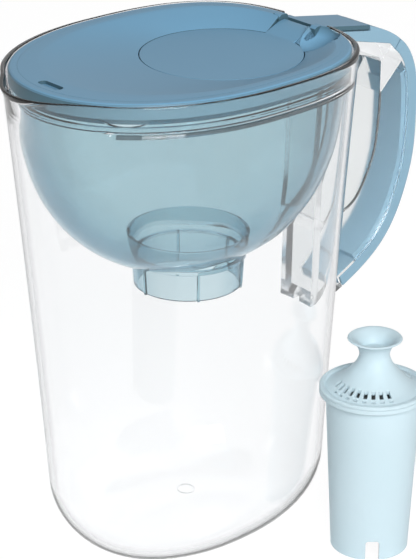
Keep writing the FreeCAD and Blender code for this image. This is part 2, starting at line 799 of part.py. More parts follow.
def filter_housing():
    """Tapered cup with a flange on top, a raised outlet floor and two notches in its lower edge."""
    body = turned_body("filter_housing_form", [
        ("filter_bottom_radius", "0"),
        ("filter_top_radius", "filter_flange_height - filter_flange_thickness - filter_lip"),
        ("filter_flange_radius", "filter_flange_height - filter_flange_thickness"),
        ("filter_flange_radius", "filter_flange_height"),
        ("filter_top_radius - filter_wall", "filter_flange_height"),
        ("filter_bottom_radius", "filter_floor_height + filter_floor"),
        ("filter_bottom_radius - 2 * filter_lip - filter_wall", "filter_floor_height + filter_floor"),
        ("filter_bottom_radius - 2 * filter_lip - filter_wall", "filter_floor_height"),
        ("filter_bottom_radius - filter_wall", "filter_floor_height"),
        ("filter_bottom_radius - filter_wall", "0"),
    ])
    half = 0.5 * size("filter_notch_width")
    corner = size("filter_notch_corner")
    reach = size("filter_flange_radius")
    opening = box(-reach, reach, -half, half, -1.0, size("filter_notch_height"))
    top_edges = [e for e in opening.Edges if min(v.Z for v in e.Vertexes) > 0 and e.Length > half * 2.0 + 1.0]
    notch = doc.addObject("Part::Feature", "outlet_notch")
    notch.Shape = opening.makeFillet(corner, top_edges)
    notch.Placement = FreeCAD.Placement(filter_place(), FreeCAD.Rotation(V(0, 0, 1), size("filter_notch_angle")))
    return cut_feature("filter_housing", body, notch)


def filter_cap():
    """Slotted crown on the flange, which sweeps up to a narrow neck and out to an open lifting knob."""
    rim = "filter_flange_height + screen_gap"
    body = turned_body("filter_cap_form", [
        ("filter_flange_radius", rim),
        ("filter_flange_radius", rim + " + 0.7 * filter_lip"),
        ("filter_flange_radius - 0.3 * filter_lip", rim + " + filter_lip"),
        ("dome_radius + 0.5 * filter_lip", rim + " + filter_lip"),
        ("dome_radius", rim + " + 0.5 * filter_lip"),
        ("crown_radius", above_flange("crown_rise"), "-crown_curve"),
        ("waist_radius", above_flange("waist_rise"), "-waist_curve"),
        ("neck_radius", above_flange("neck_rise"), "-knob_curve"),
        ("knob_radius", above_flange("knob_rise") + " - 0.4 * knob_wall"),
        ("knob_radius - 0.4 * knob_wall", above_flange("knob_rise")),
        ("knob_radius - knob_wall", above_flange("knob_rise"), "knob_curve"),
        ("neck_radius - knob_wall", above_flange("knob_floor_rise")),
        ("0", above_flange("knob_floor_rise")),
        ("0", above_flange("neck_rise") + " - 2 * dome_wall"),
        ("neck_radius - dome_wall", above_flange("neck_rise") + " - 2 * dome_wall"),
        ("waist_radius - dome_wall", above_flange("waist_rise") + " - dome_wall"),
        ("crown_radius - 0.5 * dome_wall", above_flange("crown_rise") + " - dome_wall"),
        ("dome_radius - dome_wall", rim),
    ])
    slots = []
    half = 0.5 * size("dome_slot_width")
    low = size("filter_flange_height")
    high = low + size("waist_rise")
    for group in (0.0, 180.0):
        for k in range(int(size("slots_per_group"))):
            slot = box(size("dome_slot_inner"), size("dome_slot_outer"), -half, half, low, high)
            slot.rotate(V(0, 0, 0), V(0, 0, 1), group + size("slot_first") + k * size("slot_pitch"))
            slots.append(slot)
    tool = doc.addObject("Part::Feature", "dome_slots")
    tool.Shape = Part.makeCompound(slots)
    tool.Placement = FreeCAD.Placement(filter_place(), FreeCAD.Rotation())
    return cut_feature("filter_cap", body, tool)


def filter_media():
    return turned_body("filter_media", [
        ("0", "filter_floor_height + filter_floor + screen_thickness + 2 * screen_gap"),
        ("filter_bottom_radius - 3 * screen_gap", "filter_floor_height + filter_floor + screen_thickness + 2 * screen_gap"),
        ("filter_top_radius - filter_wall - 4 * screen_gap", MEDIA_TOP),
        ("0", MEDIA_TOP),
    ])


def screen(label, radius, height):
    disc = doc.addObject("Part::Cylinder", label)
    disc.setExpression("Radius", dims(radius))
    disc.setExpression("Height", dims("screen_thickness"))
    stand_by_jug(disc)
    disc.setExpression("Placement.Base.z", dims(height))
    return disc


def hinge_pin():
    pin = doc.addObject("Part::Cylinder", "flap_hinge_pin")
    pin.setExpression("Radius", dims("pin_radius"))
    pin.setExpression("Height", dims("2 * pin_half_length"))
    pin.Placement = FreeCAD.Placement(V(0, 0, 0), FreeCAD.Rotation(V(1, 0, 0), -90.0))
    pin.setExpression("Placement.Base.x", dims("hinge_x"))
    pin.setExpression("Placement.Base.y", dims("-1 * pin_half_length"))
    pin.setExpression("Placement.Base.z", dims("jug_height + lid_rise - hinge_below_rim"))
    return pin


def place_cells():
    """The filter's worked-out place, kept in the sheet below the driving sizes."""
    place = filter_place()
    for row, (name, value) in enumerate((("filter_x", place.x), ("filter_y", place.y)), len(SIZES) + 1):
        sheet.set("A%d" % row, name)
        sheet.set("B%d" % row, str(value))
        sheet.setAlias("B%d" % row, name)
    doc.recompute()


def build():
    place_cells()
    nodes = [plain_shape(maker.__name__, maker()) for maker in (
        jug_body, reservoir, lid_shell, refill_flap, handle_frame, handle_strap, handle_cap)]
    nodes.append(hinge_pin())
    nodes.append(filter_housing())
    nodes.append(filter_cap())
    nodes.append(filter_media())
    nodes.append(screen("filter_screen_bottom", "filter_bottom_radius - 3 * screen_gap",
                        "filter_floor_height + filter_floor + screen_gap"))
    nodes.append(screen("filter_screen_top", "filter_top_radius - filter_wall - 3 * screen_gap",
                        MEDIA_TOP + " + screen_gap"))
    return nodes


def export(nodes):
    doc.recompute()
    os.makedirs("parts", exist_ok=True)
    for node in nodes:
        if "Invalid" in node.State or "Error" in node.State:
            raise RuntimeError(node.Label + " did not build")
        if node.Shape.isNull() or not node.Shape.isValid():
            raise RuntimeError(node.Label + " is not a valid solid")
        node.Shape.exportStep("parts/%s.step" % node.Label)


export(build())
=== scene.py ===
import math

import bmesh
import bpy
import numpy as np
from mathutils import Matrix, Vector

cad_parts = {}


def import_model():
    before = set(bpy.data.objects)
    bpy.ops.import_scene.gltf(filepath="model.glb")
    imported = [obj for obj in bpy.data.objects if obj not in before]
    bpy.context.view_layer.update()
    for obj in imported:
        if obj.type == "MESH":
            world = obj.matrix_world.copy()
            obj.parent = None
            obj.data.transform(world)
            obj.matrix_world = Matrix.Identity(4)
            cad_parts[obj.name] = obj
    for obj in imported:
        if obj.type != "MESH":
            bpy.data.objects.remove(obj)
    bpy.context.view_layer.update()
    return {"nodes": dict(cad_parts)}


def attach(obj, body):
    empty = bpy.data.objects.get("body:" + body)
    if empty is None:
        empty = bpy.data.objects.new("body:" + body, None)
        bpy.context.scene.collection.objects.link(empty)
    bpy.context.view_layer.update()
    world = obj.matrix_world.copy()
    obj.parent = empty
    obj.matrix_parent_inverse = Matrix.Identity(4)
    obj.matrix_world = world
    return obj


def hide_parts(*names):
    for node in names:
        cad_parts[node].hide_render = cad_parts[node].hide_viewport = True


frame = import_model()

# Sizes in millimetres, in the frame of the CAD model; meshes are scaled to metres as they are made.
MM = 0.001

# Jug
JUG_HEIGHT = 261.5
RIM_FRONT, RIM_BACK, RIM_HALF = 92.5, 85.0, 72.5
FOOT_FRONT, FOOT_BACK, FOOT_HALF = 71.3, 80.0, 56.8
FRONT_POWER, BACK_POWER, FOOT_BACK_POWER = 2.1, 2.8, 2.15
WALL_FLARE = 1.2
BASE_RADIUS = 38.0
WALL = 2.4
FLOOR = 3.2
LIP_REACH, LIP_HEIGHT, LIP_HALF = 9.2, 36.0, math.radians(24.0)
LEDGE_TOP, LEDGE_WIDTH, LEDGE_RISE, LEDGE_GAP_HALF = 247.7, 2.0, 2.6, 36.0
NOTCH_HALF, NOTCH_LOW = 16.2, 253.3
RIM_ROUND, LEDGE_ROUND, LEDGE_MARGIN, LEDGE_FADE, LEDGE_FLAT_FROM = 0.8, 0.3, 0.5, 2.0, 0.2
BASE_STEPS, WALL_STEPS, LIP_STEPS, RIM_STEPS = 22, 18, 14, 9
# Radius and rise of each ring of the gate mark, and its place on the floor of the jug
GATE_MARK = ((5.0, 0.02), (4.7, 0.2), (4.3, 0.2), (4.0, 0.02))
GATE_PLACE = (24.0, 25.0, 0.0)

# Reservoir
FLANGE_LOW, FLANGE_TOP, COLLAR_TOP = 248.0, 250.0, 254.4
FLANGE_EDGE, COLLAR_EDGE, COLLAR_INNER = 2.9, 3.3, 5.1
BOWL_EDGE, BOWL_WALL, BOWL_DEPTH = 5.6, 1.8, 96.0
BOWL_POWER, BOWL_BACK_POWER = 2.25, 1.12
CUP_X, CUP_TOP, CUP_STEP, CUP_LOW = 4.6, 167.8, 154.4, 140.0
CUP_TOP_RADIUS, CUP_STEP_RADIUS, CUP_LOW_RADIUS, CUP_WALL = 31.0, 29.3, 27.65, 1.8
CUP_BORE, CUP_SEAT = 25.2, 156.2
CUP_ROUND, CUP_SMALL_ROUND, CUP_STEP_IN = 0.4, 0.3, 0.8
CUP_RIBS, CUP_RIB_WIDTH, CUP_RIB_DEPTH = 6, 1.6, 0.7
CUP_RIB_ROOT, CUP_RIB_TAPER, CUP_RIB_GAP = 0.6, 0.6, 0.1
FLANGE_ROUND = 0.3
BOWL_STEPS, BOWL_SAMPLES, BOWL_END = 34, 600, 0.995
MOON_WIDTH, MOON_DEPTH, MOON_ANGLE = 25.0, 3.6, 212.0
HINGE_GAP_HALF, HINGE_GAP_RISE = 16.8, 0.05

# Lid
LID_TOP, SKIRT_LOW, LID_GAP, LID_BORDER = 262.0, 254.7, 0.6, 4.4
FLAP_X, DISH_RADIUS, DISH_DEPTH, DISH_FROM, DISH_SKIN, SKIN = 26.9, 41.1, 7.2, 0.17, 1.2, 0.04
DISH_CREASE, DISH_STEPS = 0.01, 10
SCOOP, SCOOP_RADIUS, SCOOP_WALL = (67.0, -22.5, 267.8), 15.0, 0.6
RAMP_ROOM, LUG_HALF, LUG_START, LUG_END = 11.1, 15.6, 75.2, 100.0
SLOT_X, SLOT_LENGTH, SLOT_WIDTH, SLOT_POINTS = -79.0, 16.0, 5.0, 24
# Corners of the ridge between the flap's ramp and the finger scoop
RIDGE = ((75.4, -11.15, 259.7), (75.4, -15.8, 259.7), (75.4, -11.15, 252.6), (75.4, -15.8, 252.6),
         (66.6, -11.15, 254.6), (66.6, -13.4, 252.6), (66.6, -11.15, 252.6))
SCOOP_INSET, SCOOP_LOW, LID_ROOM_LOW, LID_ROOM_TOP = 0.4, 250.4, 245.0, 270.0

# Filter
FILTER_X, FILTER_Y = 62.3834, -77.0371
DRAINS, DRAIN_FIRST, DRAIN_PITCH = 8, 165.0, 12.0
DRAIN_RADIUS, DRAIN_HEIGHT = 22.0, 90.5
DRAIN_SIZE = Vector((0.9, 2.1, 4.0))
DRAIN_GROUPS = (0.0, 180.0)

# Points round each ring, and the facets of the ball that cuts the scoop
COLUMNS = 160
BALL_COLUMNS, BALL_ROWS = 128, 64
# Bends in degrees above which an edge stays crisp
CRISP_BEND, CAD_BEND, LID_BEND, DISH_BEND, CARVED_BEND = 40.0, 32.0, 14.0, 12.0, 30.0
# Distances in metres below which points or edges count as one
SAME_POINT, SAME_EDGE = 1e-6, 1e-7


def srgb(red, green, blue):
    """Linear shader colour for screen values from 0 to 255."""
    return tuple(((c / 255.0 + 0.055) / 1.055) ** 2.4 for c in (red, green, blue)) + (1.0,)


# Materials

PLASTIC_DRIFT, PLASTIC_GRAIN, PLASTIC_GRAIN_DETAIL, PLASTIC_GRAIN_DEPTH = 22.0, 900.0, 2.0, 0.0002
PLASTIC_SPECULAR, PLASTIC_EDGE, EDGE_SAMPLES = 0.22, 0.0005, 6
CLEAR_DRIFT, CLEAR_WAVE_DEPTH, CLEAR_BEND = 14.0, 0.0005, 1.46
TINT_FROM, TINT_TO = 0.3, 0.7
# Heights of the normal between which the painted shade on upright walls gives way to the plastic's own colour
UPRIGHT_BELOW, LEVEL_ABOVE = 0.3, 0.7
# Roughness spread of clear plastic, and the blend of the facing value behind the painted edge shade
CLEAR_ROUGH_LOW, CLEAR_ROUGH_HIGH, FACING_BLEND = 0.6, 1.4, 0.5
GRAIN_SCALE, GRAIN_ROUGH, GRAIN_BUMP, GRAIN_DEPTH = 900.0, 0.85, 0.6, 0.0006
WEAVE_SCALE, WEAVE_ROUGH, WEAVE_BUMP, WEAVE_DEPTH = 2400.0, 0.6, 0.4, 0.0003


def new_material(name):
    """New material with its nodes, links, shader and output."""
    material = bpy.data.materials.new(name)
    material.use_nodes = True
    nodes = material.node_tree.nodes
    return material, nodes, material.node_tree.links, nodes["Principled BSDF"], nodes["Material Output"]


def noise(nodes, links, scale, detail=3.0):
    """Noise in the piece's own coordinates."""
    coordinates = nodes.new("ShaderNodeTexCoord")
    texture = nodes.new("ShaderNodeTexNoise")
    texture.inputs["Scale"].default_value = scale
    texture.inputs["Detail"].default_value = detail
    links.new(coordinates.outputs["Object"], texture.inputs["Vector"])
    return texture


def spread(nodes, links, source, low, high):
    """A varying value from 0 to 1, spread between two others."""
    node = nodes.new("ShaderNodeMapRange")
    node.inputs["To Min"].default_value = low
    node.inputs["To Max"].default_value = high
    links.new(source, node.inputs["Value"])
    return node.outputs["Result"]


def add_bump(nodes, links, shader, source, strength, distance, edge=0.0):
    """Bump from a texture, with edges that look rounded where a radius is given."""
    bump = nodes.new("ShaderNodeBump")
    if edge > 0.0:
        rounded = nodes.new("ShaderNodeBevel")
        rounded.samples = EDGE_SAMPLES
        rounded.inputs["Radius"].default_value = edge
        links.new(rounded.outputs["Normal"], bump.inputs["Normal"])
    bump.inputs["Strength"].default_value = strength
    bump.inputs["Distance"].default_value = distance
    links.new(source, bump.inputs["Height"])
    links.new(bump.outputs["Normal"], shader.inputs["Normal"])


def tint(nodes, links, shader, source, first, second):
    """Base colour that drifts between two tones."""
    ramp = nodes.new("ShaderNodeValToRGB")
    ramp.color_ramp.elements[0].position = TINT_FROM
    ramp.color_ramp.elements[1].position = TINT_TO
    ramp.color_ramp.elements[0].color = first
    ramp.color_ramp.elements[1].color = second
    links.new(source, ramp.inputs["Fac"])
    links.new(ramp.outputs["Color"], shader.inputs["Base Color"])


def paint_upright_shade(nodes, links, shader, colour):
    """Painted shade: a darker tone on upright walls and on faces turned down."""
    flat = shader.inputs["Base Color"].links[0].from_socket
    geometry = nodes.new("ShaderNodeNewGeometry")
    axes = nodes.new("ShaderNodeSeparateXYZ")
    links.new(geometry.outputs["Normal"], axes.inputs["Vector"])
    level = nodes.new("ShaderNodeMapRange")
    level.inputs["From Min"].default_value = UPRIGHT_BELOW
    level.inputs["From Max"].default_value = LEVEL_ABOVE
    links.new(axes.outputs["Z"], level.inputs["Value"])
    mixer = nodes.new("ShaderNodeMix")
    mixer.data_type = "RGBA"
    links.new(level.outputs["Result"], mixer.inputs["Factor"])
    mixer.inputs["A"].default_value = colour
    links.new(flat, mixer.inputs["B"])
    links.new(mixer.outputs["Result"], shader.inputs["Base Color"])


def moulded(name, first, second, rough_low, rough_high, bump=0.08, upright=None):
    """Opaque moulded plastic with a faint grain and a slow drift of colour."""
    material, nodes, links, shader, _ = new_material(name)
    slow = noise(nodes, links, PLASTIC_DRIFT)
    fine = noise(nodes, links, PLASTIC_GRAIN, PLASTIC_GRAIN_DETAIL)
    tint(nodes, links, shader, slow.outputs["Fac"], first, second)
    # Painted shade on upright walls, where a shade colour is given
    if upright is not None:
        paint_upright_shade(nodes, links, shader, upright)
    shader.inputs["Specular IOR Level"].default_value = PLASTIC_SPECULAR
    links.new(spread(nodes, links, slow.outputs["Fac"], rough_low, rough_high), shader.inputs["Roughness"])
    add_bump(nodes, links, shader, fine.outputs["Fac"], bump, PLASTIC_GRAIN_DEPTH, PLASTIC_EDGE)
    return material


def paint_edge_shade(nodes, links, shader, colour, start):
    """Painted shade at the edges: another tone where the surface is seen at a low angle, from a share of
    facing on.
    """
    flat = shader.inputs["Base Color"].links[0].from_socket
    facing = nodes.new("ShaderNodeLayerWeight")
    facing.inputs["Blend"].default_value = FACING_BLEND
    level = nodes.new("ShaderNodeMapRange")
    level.inputs["From Min"].default_value = start
    links.new(facing.outputs["Facing"], level.inputs["Value"])
    mixer = nodes.new("ShaderNodeMix")
    mixer.data_type = "RGBA"
    links.new(level.outputs["Result"], mixer.inputs["Factor"])
    links.new(flat, mixer.inputs["A"])
    mixer.inputs["B"].default_value = colour
    links.new(mixer.outputs["Result"], shader.inputs["Base Color"])


def clear(name, first, second, density, absorbed, rough, bump=0.02, bend=CLEAR_BEND, rim=None, edge_shade_from=0.3,
          film=None):
    """See-through plastic. Long ways along the wall absorb more; lamps reach through, dimmed by the film. A
    rim colour paints shade on the edges seen at a low angle.
    """
    material, nodes, links, shader, output = new_material(name)
    slow = noise(nodes, links, CLEAR_DRIFT)
    tint(nodes, links, shader, slow.outputs["Fac"], first, second)
    low, high = rough * CLEAR_ROUGH_LOW, rough * CLEAR_ROUGH_HIGH
    links.new(spread(nodes, links, slow.outputs["Fac"], low, high), shader.inputs["Roughness"])
    add_bump(nodes, links, shader, slow.outputs["Fac"], bump, CLEAR_WAVE_DEPTH)
    shader.inputs["Transmission Weight"].default_value = 1.0
    shader.inputs["IOR"].default_value = bend
    # Painted shade on the edges seen at a low angle
    if rim is not None:
        paint_edge_shade(nodes, links, shader, rim, edge_shade_from)
    path = nodes.new("ShaderNodeLightPath")
    shade = nodes.new("ShaderNodeBsdfTransparent")
    shade.inputs["Color"].default_value = first if film is None else film
    mixer = nodes.new("ShaderNodeMixShader")
    links.new(path.outputs["Is Shadow Ray"], mixer.inputs["Fac"])
    links.new(shader.outputs["BSDF"], mixer.inputs[1])
    links.new(shade.outputs["BSDF"], mixer.inputs[2])
    links.new(mixer.outputs["Shader"], output.inputs["Surface"])
    absorption = nodes.new("ShaderNodeVolumeAbsorption")
    absorption.inputs["Color"].default_value = absorbed
    absorption.inputs["Density"].default_value = density
    links.new(absorption.outputs["Volume"], output.inputs["Volume"])
    return material


def grains():
    """Dark carbon grains among pale resin beads."""
    material, nodes, links, shader, _ = new_material("filter_grains")
    coordinates = nodes.new("ShaderNodeTexCoord")
    cells = nodes.new("ShaderNodeTexVoronoi")
    cells.inputs["Scale"].default_value = GRAIN_SCALE
    links.new(coordinates.outputs["Object"], cells.inputs["Vector"])
    tint(nodes, links, shader, cells.outputs["Distance"], srgb(40, 40, 42), srgb(120, 108, 92))
    shader.inputs["Roughness"].default_value = GRAIN_ROUGH
    add_bump(nodes, links, shader, cells.outputs["Distance"], GRAIN_BUMP, GRAIN_DEPTH)
    return material


def mesh_cloth():
    """Fine woven screen."""
    material, nodes, links, shader, _ = new_material("screen_weave")
    coordinates = nodes.new("ShaderNodeTexCoord")
    threads = nodes.new("ShaderNodeTexChecker")
    threads.inputs["Scale"].default_value = WEAVE_SCALE
    links.new(coordinates.outputs["Object"], threads.inputs["Vector"])
    tint(nodes, links, shader, threads.outputs["Fac"], srgb(196, 202, 204), srgb(236, 240, 240))
    shader.inputs["Roughness"].default_value = WEAVE_ROUGH
    add_bump(nodes, links, shader, threads.outputs["Fac"], WEAVE_BUMP, WEAVE_DEPTH)
    return material


# The handle's dark film and the lid's upright tone are set by the picture; each plastic is one colour. The
# lid's upright tone and the rim tones of jug and reservoir are painted shade; the film deepens the shadow
# inside the handle.
JUG_CLEAR = clear("jug_clear", (0.985, 0.988, 0.99, 1), (0.995, 0.997, 1.0, 1), 10.0, (0.34, 0.44, 0.54, 1),
                  0.008, rim=(0.40, 0.38, 0.44, 1), edge_shade_from=0.72)
HANDLE_CLEAR = clear("handle_clear", (0.91, 0.92, 0.92, 1), (0.94, 0.95, 0.95, 1), 6.0,
                     (0.5, 0.55, 0.62, 1), 0.16, bend=1.3, film=(0.52, 0.52, 0.52, 1))
# The reservoir's rim tone is painted shade on its edges
RESERVOIR_TINT = clear("reservoir_tinted", (0.65, 0.78, 0.82, 1), (0.67, 0.80, 0.83, 1), 60.0,
                       (0.25, 0.5, 0.6, 1), 0.03, bend=1.3, rim=(0.04, 0.26, 0.40, 1), edge_shade_from=0.22)
# The lid's upright tone is painted shade
LID_BLUE = moulded("lid_blue_plastic", srgb(116, 165, 197), srgb(120, 168, 199), 0.32, 0.42,
                   upright=srgb(74, 104, 117))
FLAP_BLUE = moulded("flap_blue_plastic", srgb(116, 165, 197), srgb(120, 168, 199), 0.32, 0.42)
STRAP_BLUE = moulded("strap_blue_plastic", srgb(134, 169, 189), srgb(139, 173, 192), 0.35, 0.45)
FILTER_PALE = moulded("filter_pale_plastic", srgb(196, 217, 225), srgb(200, 220, 228), 0.4, 0.5)
PIN_PLASTIC = moulded("pin_white_plastic", srgb(205, 212, 216), srgb(214, 220, 224), 0.3, 0.4)
MEDIA_GRAINS = grains()
SCREEN_WEAVE = mesh_cloth()


# Mesh helpers

def mix(low, high, share):
    """Value at a share of the way from low to high."""
    return low + (high - low) * share


def show(name, mesh, body, node, material):
    """Puts a mesh in the scene as a piece that rides on a body and may stand for a CAD node."""
    piece = bpy.data.objects.new(name, mesh)
    bpy.context.scene.collection.objects.link(piece)
    mesh.materials.clear()
    mesh.materials.append(material)
    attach(piece, body)
    if node:
        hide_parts(node)
    return piece


def shaded(mesh, degrees):
    """Even normals, smooth over gentle bends and crisp over edges."""
    work = bmesh.new()
    work.from_mesh(mesh)
    bmesh.ops.remove_doubles(work, verts=work.verts, dist=SAME_POINT)
    bmesh.ops.dissolve_degenerate(work, edges=work.edges, dist=SAME_EDGE)
    bmesh.ops.recalc_face_normals(work, faces=work.faces)
    work.to_mesh(mesh)
    work.free()
    mesh.polygons.foreach_set("use_smooth", [True] * len(mesh.polygons))
    mesh.set_sharp_from_angle(angle=math.radians(degrees))
    return mesh


def ring_mesh(name, rings, loop=False):
    """Skin of quads over a stack of rings with the same number of points; open ends are closed by a fan."""
    count = len(rings[0])
    points = np.vstack(rings) * MM
    faces = []
    pairs = len(rings) if loop else len(rings) - 1
    for i in range(pairs):
        a, b = i * count, ((i + 1) % len(rings)) * count
        for k in range(count):
            m = (k + 1) % count
            faces.append((a + k, a + m, b + m, b + k))
    points = [tuple(p) for p in points]
    if not loop:
        for start in (0, (len(rings) - 1) * count):
            ring = np.array(points[start:start + count])
            points.append(tuple(ring.mean(axis=0)))
            middle = len(points) - 1
            faces += [(start + k, start + (k + 1) % count, middle) for k in range(count)]
    mesh = bpy.data.meshes.new(name)
    mesh.from_pydata(points, [], faces)
    return mesh


def carve(piece, mesh, operation):
    """Boolean of a piece with a tool mesh, worked into the piece's own mesh."""
    tool = bpy.data.objects.new("tool", mesh)
    bpy.context.scene.collection.objects.link(tool)
    step = piece.modifiers.new("carve", "BOOLEAN")
    step.object = tool
    step.operation = operation
    step.solver = "EXACT"
    bpy.context.view_layer.update()
    done = bpy.data.meshes.new_from_object(piece.evaluated_get(bpy.context.evaluated_depsgraph_get()))
    piece.modifiers.clear()
    piece.data = done
    bpy.data.objects.remove(tool)


def block(low, high):
    """Box between two corners given in millimetres."""
    work = bmesh.new()
    low, high = Vector(low) * MM, Vector(high) * MM
    place = Matrix.Translation((low + high) * 0.5) @ Matrix.Diagonal((*(high - low), 1.0))
    bmesh.ops.create_cube(work, size=1.0, matrix=place)
    mesh = bpy.data.meshes.new("block")
    work.to_mesh(mesh)
    work.free()
    return mesh


def ball(centre, radius):
    """Ball about a point given in millimetres."""
    work = bmesh.new()
    place = Matrix.Translation(Vector(centre) * MM)
    bmesh.ops.create_uvsphere(work, u_segments=BALL_COLUMNS, v_segments=BALL_ROWS, radius=radius * MM,
                              matrix=place)
    mesh = bpy.data.meshes.new("ball")
    work.to_mesh(mesh)
    work.free()
    return mesh


def dressed_node(node, name, body, material, degrees=CAD_BEND):
    """The CAD node's own shape as a scene piece with clean shading."""
    mesh = frame["nodes"][node].data.copy()
    for layer in ("custom_normal", "sharp_edge", "sharp_face"):
        if layer in mesh.attributes:
            mesh.attributes.remove(mesh.attributes[layer])
    return show(name, shaded(mesh, degrees), body, node, material)


# The egg outline of jug, reservoir and lid

ANGLES = np.linspace(0.0, 2.0 * math.pi, COLUMNS, endpoint=False)


def egg_radius(front, back, half, back_power, lip=0.0):
    """Radius of the egg outline at each angle, with the pouring lip swelling at its front."""
    c, s = np.cos(ANGLES), np.sin(ANGLES)
    along = np.where(c < 0, front, back)
    power = np.where(c < 0, FRONT_POWER, back_power)
    radius = ((np.abs(c) / along) ** power + (np.abs(s) / half) ** power) ** (-1.0 / power)
    off = np.abs(math.pi - ANGLES)
    swell = np.where(off < LIP_HALF, np.cos(0.5 * math.pi * off / LIP_HALF) ** 2, 0.0)
    return radius + lip * swell


def polar(radius, height, shift=0.0):
    """Ring of points from radii about an axis that is shifted along X."""
    heights = np.broadcast_to(height, radius.shape)
    return np.column_stack([shift + radius * np.cos(ANGLES), radius * np.sin(ANGLES), heights])


def jug_sizes(level):
    """Front, back and half width of the jug's outline at a level, and the roundness of its back."""
    share = (max(level, 0.0) / JUG_HEIGHT) ** WALL_FLARE
    front = mix(FOOT_FRONT, RIM_FRONT, share)
    back = mix(FOOT_BACK, RIM_BACK, share)
    half = mix(FOOT_HALF, RIM_HALF, share)
    return front, back, half, mix(FOOT_BACK_POWER, BACK_POWER, share)


def jug_ring(level, inset, height, lip=0.0):
    """Ring that runs inside the jug's outline at a level, set at a height."""
    front, back, half, power = jug_sizes(level)
    return polar(egg_radius(front - inset, back - inset, half - inset, power, lip), height)


def lip_at(height):
    """Reach of the pouring lip at a height."""
    share = max(height - JUG_HEIGHT + LIP_HEIGHT, 0.0) / LIP_HEIGHT
    return LIP_REACH * share ** 2


# Jug

def jug():
    """Clear jug: one skin up the outside, over the rim and down the inside past the ledge."""
    rings = []
    for turn in np.linspace(0.0, 0.5 * math.pi, BASE_STEPS):
        height = BASE_RADIUS * (1.0 - math.cos(turn))
        rings.append(jug_ring(height, BASE_RADIUS * (1.0 - math.sin(turn)), height))
    lip_low = JUG_HEIGHT - LIP_HEIGHT
    heights = np.concatenate([np.linspace(BASE_RADIUS, lip_low, WALL_STEPS)[1:],
                              np.linspace(lip_low, JUG_HEIGHT - RIM_ROUND, LIP_STEPS)[1:]])
    for height in heights:
        rings.append(jug_ring(height, 0.0, height, lip_at(height)))
    for turn in np.linspace(0.0, math.pi, RIM_STEPS)[1:-1]:
        inset = mix(0.0, WALL, 0.5 * (1.0 - math.cos(turn)))
        height = JUG_HEIGHT - RIM_ROUND + RIM_ROUND * math.sin(turn)
        rings.append(jug_ring(height, inset, height, lip_at(height)))
    for height in heights[::-1]:
        if height > LEDGE_TOP + LEDGE_MARGIN:
            rings.append(jug_ring(height, WALL, height, lip_at(height)))
    y = jug_ring(LEDGE_TOP, WALL, 0.0)[:, 1]
    reach = np.clip((np.abs(y) - LEDGE_GAP_HALF) / LEDGE_FADE, 0.0, 1.0)
    reach = np.where(np.cos(ANGLES) < 0, reach, 1.0) * LEDGE_WIDTH
    ledge = ((LEDGE_TOP + LEDGE_ROUND, 0.0), (LEDGE_TOP, LEDGE_FLAT_FROM), (LEDGE_TOP, 1.0),
             (LEDGE_TOP - LEDGE_MARGIN, 1.0), (LEDGE_TOP - LEDGE_RISE, 0.0))
    outward = polar(np.ones(COLUMNS), 0.0)
    for height, share in ledge:
        ring = jug_ring(height, WALL, height, lip_at(height))
        rings.append(ring - outward * (reach * share)[:, None])
    for height in heights[::-1]:
        if BASE_RADIUS + FLOOR < height < LEDGE_TOP - LEDGE_RISE - LEDGE_MARGIN:
            rings.append(jug_ring(height, WALL, height, lip_at(height)))
    radius = BASE_RADIUS - WALL
    for turn in np.linspace(0.5 * math.pi, 0.0, BASE_STEPS):
        height = FLOOR + radius * (1.0 - math.cos(turn))
        rings.append(jug_ring(height, WALL + radius * (1.0 - math.sin(turn)), height))
    for ring in rings:
        in_notch = (ring[:, 0] > 0) & (np.abs(ring[:, 1]) < NOTCH_HALF)
        ring[:, 2] = np.where(in_notch, np.minimum(ring[:, 2], NOTCH_LOW), ring[:, 2])
    mesh = shaded(ring_mesh("jug_clear", rings), CRISP_BEND)
    return show("jug_clear", mesh, "pitcher", "jug_body", JUG_CLEAR)


def gate_mark():
    """Faint ring that the moulding gate leaves on the floor of the jug."""
    rings = []
    for radius, rise in GATE_MARK:
        rings.append(polar(np.full(COLUMNS, radius), FLOOR + rise) + np.array(GATE_PLACE))
    mesh = shaded(ring_mesh("gate_mark", rings, loop=True), CRISP_BEND)
    return show("gate_mark", mesh, "pitcher", None, JUG_CLEAR)


# Reservoir

def bowl_points(step, inset):
    """Rings of the bowl at each step of its depth, as one array (steps, columns, 3)."""
    front, back, half, power = jug_sizes(FLANGE_LOW)
    edge = BOWL_EDGE + inset
    depth = BOWL_DEPTH - inset
    rings = []
    for share in step:
        s = (1.0 - share ** BOWL_POWER) ** (1.0 / BOWL_POWER)
        along_back = (back - edge) * s ** BOWL_BACK_POWER
        radius = egg_radius((front - edge) * s, along_back, (half - edge) * s, power)
        rings.append(polar(radius, FLANGE_LOW - share * depth, CUP_X * (1.0 - s)))
    return np.array(rings)


def bowl_rings(inset, count):
    """Bowl rings that end on the outside of the filter cup, with the last ring on the cup."""
    points = bowl_points(np.linspace(0.0, BOWL_END, BOWL_SAMPLES), inset)
    away = np.hypot(points[:, :, 0] - CUP_X, points[:, :, 1])
    share = np.clip((points[:, :, 2] - CUP_STEP) / (CUP_TOP - CUP_STEP), 0.0, 1.0)
    inside = away <= mix(CUP_STEP_RADIUS, CUP_TOP_RADIUS, share)
    last = np.argmax(inside, axis=0)
    rings = []
    for part in np.sin(np.linspace(0.0, 0.5 * math.pi, count)):
        index = np.rint(last * part).astype(int)
        rings.append(points[index, np.arange(COLUMNS)])
    return rings


def cup_ring(angles, radius, height):
    """Ring of the filter cup at the angles where the bowl meets it."""
    heights = np.full(COLUMNS, height)
    return np.column_stack([CUP_X + radius * np.cos(angles), radius * np.sin(angles), heights])


